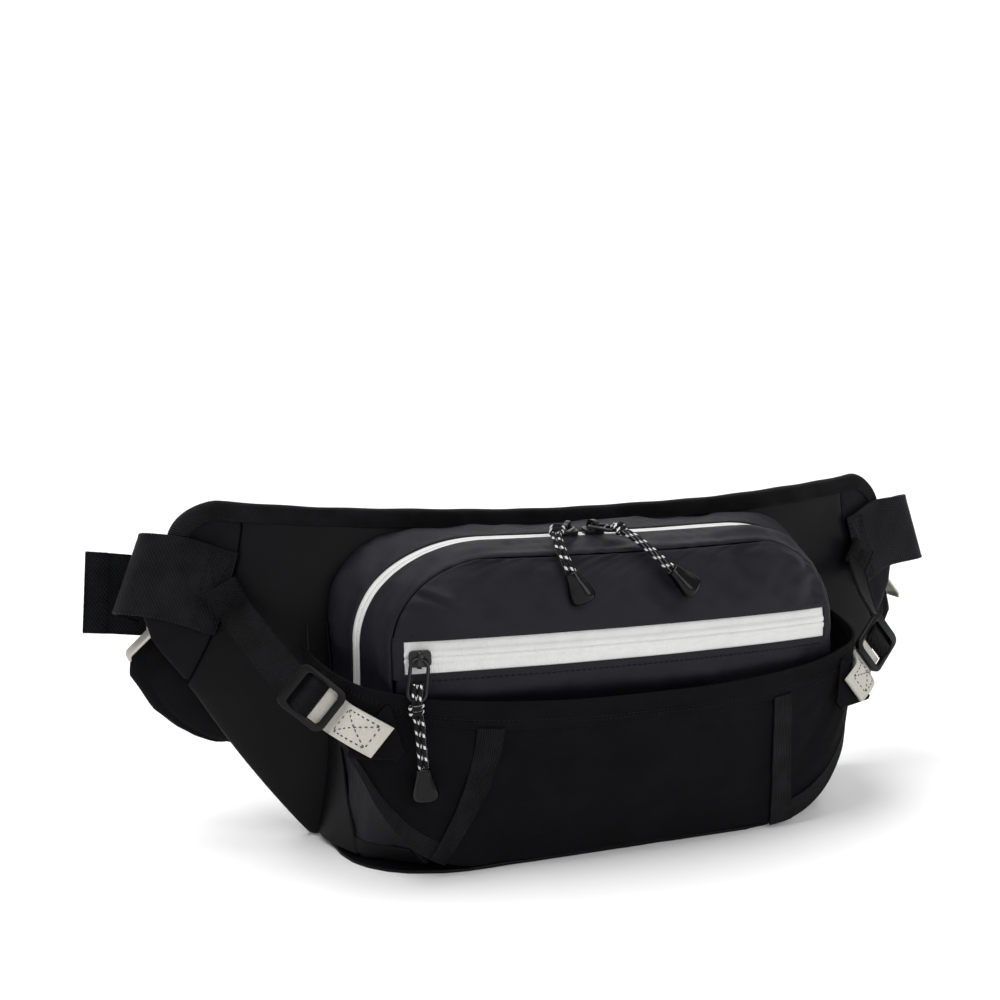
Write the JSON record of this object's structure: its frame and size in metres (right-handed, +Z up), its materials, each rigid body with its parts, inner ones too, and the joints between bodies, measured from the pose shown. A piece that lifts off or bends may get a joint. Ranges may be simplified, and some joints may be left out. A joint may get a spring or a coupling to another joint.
{
  "type": "zipped waist pack",
  "caption": "Zipped waist pack with padded back and wings, main and front zips, stretch front pocket, compression straps and a webbing belt with side-release buckle.",
  "frame": {"origin": "on the ground under the pack, midway between its two sides, 30 mm in front of the back panel's front face", "axes": "+Z up, +X to the right of someone facing the pack's front, -Y out of the pack's front; the wearer's back is towards +Y"},
  "size_m": [0.5902, 0.1911, 0.202],
  "materials": {
    "navy_nylon": "woven nylon, softly shiny",
    "coated_black": "smooth coated fabric",
    "black_webbing": "ribbed woven webbing and tape, matte",
    "stretch_black": "stretch knit, matte",
    "grey_foam": "soft foam",
    "white_zip": "water-resistant coated zip",
    "cream_webbing": "woven webbing, undyed",
    "black_plastic": "moulded, satin",
    "dark_metal": "dark enamel",
    "fleck_cord": "black cord with pale flecks"
  },
  "bodies": {
    "pack": {"back_foam_pad": "grey_foam", "back_mesh_lining": "stretch_black", "back_panel_front": "coated_black", "base_panel": "coated_black", "belt_rear_left": "black_webbing", "belt_rear_right": "black_webbing", "belt_wing_left": "black_webbing", "belt_wing_right": "black_webbing", "buckle_female": "black_plastic", "compression_strap_left": "black_webbing", "compression_strap_right": "black_webbing", "corner_patch_left": "stretch_black", "corner_patch_right": "stretch_black", "front_gusset": "navy_nylon", "front_panel_lower": "navy_nylon", "front_panel_upper": "navy_nylon", "front_zip_coil": "white_zip", "front_zip_tape": "white_zip", "main_zip_coil": "white_zip", "main_zip_tape": "white_zip", "pale_tab_left": "cream_webbing", "pale_tab_right": "cream_webbing", "pocket_edge_binding_left": "black_webbing", "pocket_edge_binding_right": "black_webbing", "pocket_tape_left": "black_webbing", "pocket_tape_right": "black_webbing", "pocket_top_band": "black_webbing", "rear_gusset": "navy_nylon", "side_patch_left": "navy_nylon", "side_patch_right": "navy_nylon", "strap_end_tab_left": "black_webbing", "strap_end_tab_right": "black_webbing", "stretch_pocket": "stretch_black", "top_binding": "black_webbing", "wing_pad_left": "stretch_black", "wing_pad_right": "stretch_black", "wing_panel_left": "navy_nylon", "wing_panel_right": "navy_nylon", "wing_tip_binding_left": "cream_webbing", "wing_tip_binding_right": "cream_webbing"},
    "front_slider": {"front_slider": "dark_metal"},
    "front_pull": {"front_pull_ring": "dark_metal", "front_pull_cord": "fleck_cord", "front_pull_cord_end": "black_plastic"},
    "main_slider_left": {"main_slider_left": "dark_metal"},
    "main_slider_right": {"main_slider_right": "dark_metal"},
    "main_pull_left": {"main_pull_left_ring": "dark_metal", "main_pull_left_cord": "fleck_cord", "main_pull_left_cord_end": "black_plastic"},
    "main_pull_right": {"main_pull_right_ring": "dark_metal", "main_pull_right_cord": "fleck_cord", "main_pull_right_cord_end": "black_plastic"},
    "ladder_lock_left": {"ladder_lock_left": "black_plastic"},
    "ladder_lock_right": {"ladder_lock_right": "black_plastic"},
    "buckle_plug": {"buckle_male": "black_plastic", "belt_tail": "black_webbing", "belt_tail_hem": "black_webbing"},
    "buckle_prong_upper": {"buckle_prong_upper": "black_plastic"},
    "buckle_prong_lower": {"buckle_prong_lower": "black_plastic"}
  },
  "joints": [
    {"name": "front_slider_travel", "type": "hinge", "parent": "pack", "child": "front_slider", "pos_m": [0, 0.40118, 0.05404], "axis": [0, 0.1564, 0.9877], "range_deg": [0, 31.47]},
    {"name": "front_pull_swing", "type": "hinge", "parent": "front_slider", "child": "front_pull", "pos_m": [-0.1274, -0.04371, 0.12371], "axis": [-0.9574, 0.2675, 0.1082], "range_deg": [0, 150]},
    {"name": "main_slider_left_travel", "type": "slide", "parent": "pack", "child": "main_slider_left", "axis": [-0.9972, 0.0748, 0], "range_m": [0, 0.056]},
    {"name": "main_pull_left_swing", "type": "hinge", "parent": "main_slider_left", "child": "main_pull_left", "pos_m": [-0.0277, -0.01253, 0.18737], "axis": [-0.7969, 0.5977, 0.088], "range_deg": [0, 100]},
    {"name": "main_slider_right_travel", "type": "slide", "parent": "pack", "child": "main_slider_right", "axis": [0.9989, 0.0469, 0], "range_m": [0, 0.096]},
    {"name": "main_pull_right_swing", "type": "hinge", "parent": "main_slider_right", "child": "main_pull_right", "pos_m": [-0.011, -0.01253, 0.18737], "axis": [-0.975, -0.22, -0.0324], "range_deg": [0, 100]},
    {"name": "ladder_lock_left_tilt", "type": "hinge", "parent": "pack", "child": "ladder_lock_left", "pos_m": [-0.17226, -0.02874, 0.09371], "axis": [0.6442, -0.0436, 0.7636], "range_deg": [0, 35]},
    {"name": "ladder_lock_right_tilt", "type": "hinge", "parent": "pack", "child": "ladder_lock_right", "pos_m": [0.17226, -0.02874, 0.09371], "axis": [0.6442, 0.0436, -0.7636], "range_deg": [0, 35]},
    {"name": "buckle_release", "type": "slide", "parent": "pack", "child": "buckle_plug", "axis": [-1, 0, 0], "range_m": [0, 0.04], "deforming": ["belt_rear_left"]},
    {"name": "buckle_prong_upper_squeeze", "type": "hinge", "parent": "buckle_plug", "child": "buckle_prong_upper", "pos_m": [-0.007, 0.118, 0.1455], "axis": [0, 1, 0], "range_deg": [0, 6], "stiffness_Nm_per_rad": 0.4},
    {"name": "buckle_prong_lower_squeeze", "type": "hinge", "parent": "buckle_plug", "child": "buckle_prong_lower", "pos_m": [-0.007, 0.118, 0.1145], "axis": [0, -1, 0], "range_deg": [0, 6], "stiffness_Nm_per_rad": 0.4}
  ]
}
